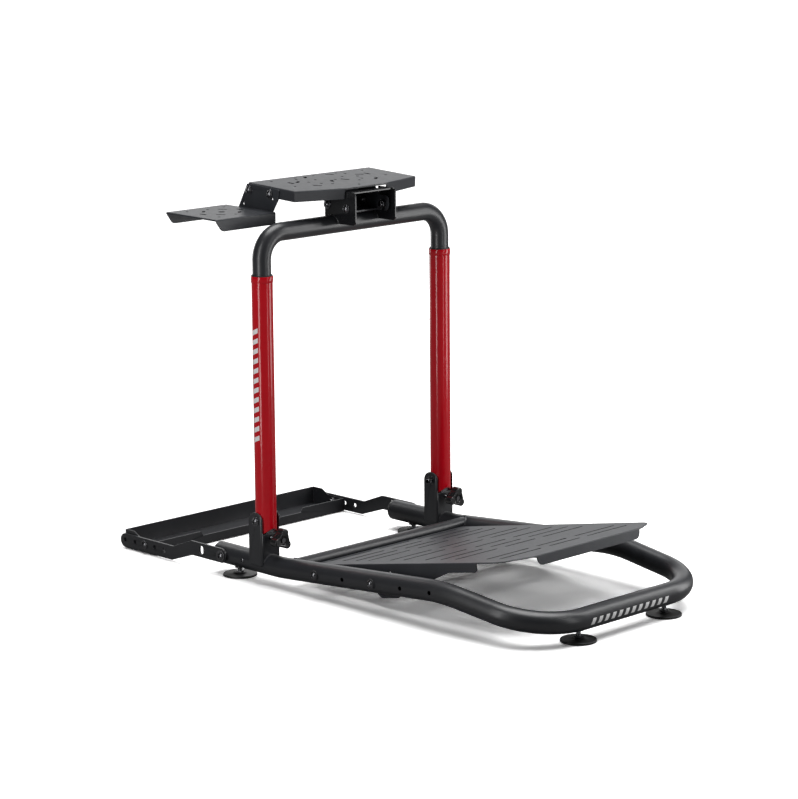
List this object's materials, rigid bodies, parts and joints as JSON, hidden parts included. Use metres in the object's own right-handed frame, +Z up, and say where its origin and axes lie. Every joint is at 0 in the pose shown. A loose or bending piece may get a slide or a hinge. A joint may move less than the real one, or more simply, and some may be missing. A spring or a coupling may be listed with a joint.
{
  "type": "racing wheel stand",
  "caption": "Folding tubular stand for a racing wheel controller: drilled wheel deck, side shifter shelf, slotted pedal plate, telescopic uprights and a castor tray.",
  "frame": {"origin": "on the floor, midway between the two uprights", "axes": "+X to the driver's right, +Y forwards to the pedals, +Z up"},
  "size_m": [0.5415, 1.0604, 0.7012],
  "materials": {
    "black_powder_coat": "satin",
    "black_plate_coat": "fine satin",
    "gloss_black": "gloss",
    "red_powder_coat": "gloss",
    "black_bolt_steel": "black oxide",
    "zinc_steel": "zinc plated",
    "nylon": "matte",
    "black_plastic": "matte",
    "foot_rubber": "matte"
  },
  "bodies": {
    "base_frame": {"base_tube": "black_powder_coat", "cross_tube": "black_powder_coat", "rail_end_caps": "black_plastic", "rail_screws": "black_bolt_steel", "pivot_bracket_right": "black_powder_coat", "pivot_bracket_left": "black_powder_coat", "pivot_bolts": "black_bolt_steel", "pivot_washers": "black_bolt_steel", "pivot_nuts": "black_bolt_steel", "pedal_bolts": "black_bolt_steel", "pedal_spacers": "nylon", "tray_arm_bolts": "black_bolt_steel", "tray_arm_washers": "black_bolt_steel", "tray_arm_inserts": "zinc_steel", "rail_nuts": "black_bolt_steel", "foot_inserts": "black_plastic"},
    "uprights": {"upright_right": "red_powder_coat", "upright_left": "red_powder_coat", "upright_collars": "red_powder_coat", "guide_bushes": "nylon", "pivot_sleeves": "zinc_steel", "lock_tongues": "black_bolt_steel", "height_lock_bosses": "red_powder_coat", "height_lock_bolts": "black_bolt_steel"},
    "height_frame": {"inner_u_tube": "black_powder_coat", "leg_glides": "nylon", "deck_cradle": "gloss_black", "tilt_pivot_bolts": "black_bolt_steel", "tilt_pivot_washers": "black_bolt_steel", "tilt_pivot_nuts": "black_bolt_steel", "tilt_lock_bolts": "black_bolt_steel", "tilt_lock_washers": "black_bolt_steel", "tilt_lock_nuts": "black_bolt_steel"},
    "wheel_deck": {"wheel_plate": "black_plate_coat", "deck_hanger": "black_plate_coat", "shifter_plate": "black_plate_coat", "shifter_bolts": "black_bolt_steel", "shifter_washers": "black_bolt_steel", "shifter_nuts": "black_bolt_steel"},
    "pedal_deck": {"pedal_plate": "black_plate_coat"},
    "castor_tray_frame": {"tray_arm_right": "black_powder_coat", "tray_arm_left": "black_powder_coat", "castor_tray": "black_powder_coat", "tray_bolts": "black_bolt_steel", "tray_washers": "black_bolt_steel", "tray_nuts": "black_bolt_steel"},
    "lock_knob_right": {"knob_right": "black_plastic", "knob_stud_right": "black_bolt_steel"},
    "lock_knob_left": {"knob_left": "black_plastic", "knob_stud_left": "black_bolt_steel"},
    "foot_rear_right": {"foot_pad_rear_right": "foot_rubber", "foot_stem_rear_right": "black_bolt_steel"},
    "foot_rear_left": {"foot_pad_rear_left": "foot_rubber", "foot_stem_rear_left": "black_bolt_steel"},
    "foot_front_right": {"foot_pad_front_right": "foot_rubber", "foot_stem_front_right": "black_bolt_steel"},
    "foot_front_left": {"foot_pad_front_left": "foot_rubber", "foot_stem_front_left": "black_bolt_steel"}
  },
  "joints": [
    {"name": "upright_fold", "type": "hinge", "parent": "base_frame", "child": "uprights", "pos_m": [0, -0.0035, 0.115], "axis": [-1, 0, 0], "range_deg": [0, 67]},
    {"name": "height_adjust", "type": "slide", "parent": "uprights", "child": "height_frame", "axis": [0, 0, 1], "range_m": [-0.024, 0.13]},
    {"name": "wheel_tilt", "type": "hinge", "parent": "height_frame", "child": "wheel_deck", "pos_m": [0, -0.012, 0.661], "axis": [1, 0, 0], "range_deg": [-3, 12]},
    {"name": "pedal_tilt", "type": "hinge", "parent": "base_frame", "child": "pedal_deck", "pos_m": [0, 0.144, 0.04292], "axis": [1, 0, 0], "range_deg": [-3, 7]},
    {"name": "tray_fold", "type": "hinge", "parent": "base_frame", "child": "castor_tray_frame", "pos_m": [0, -0.098, 0.0346], "axis": [-1, 0, 0], "range_deg": [0, 95]},
    {"name": "knob_turn_right", "type": "hinge", "parent": "base_frame", "child": "lock_knob_right", "pos_m": [0.22, 0.031, 0.085], "axis": [0, 1, 0], "continuous": true},
    {"name": "knob_turn_left", "type": "hinge", "parent": "base_frame", "child": "lock_knob_left", "pos_m": [-0.22, 0.031, 0.085], "axis": [0, 1, 0], "continuous": true},
    {"name": "level_rear_right", "type": "slide", "parent": "base_frame", "child": "foot_rear_right", "axis": [0, 0, 1], "range_m": [0, 0.0045]},
    {"name": "level_rear_left", "type": "slide", "parent": "base_frame", "child": "foot_rear_left", "axis": [0, 0, 1], "range_m": [0, 0.0045]},
    {"name": "level_front_right", "type": "slide", "parent": "base_frame", "child": "foot_front_right", "axis": [0, 0, 1], "range_m": [0, 0.0045]},
    {"name": "level_front_left", "type": "slide", "parent": "base_frame", "child": "foot_front_left", "axis": [0, 0, 1], "range_m": [0, 0.0045]}
  ]
}
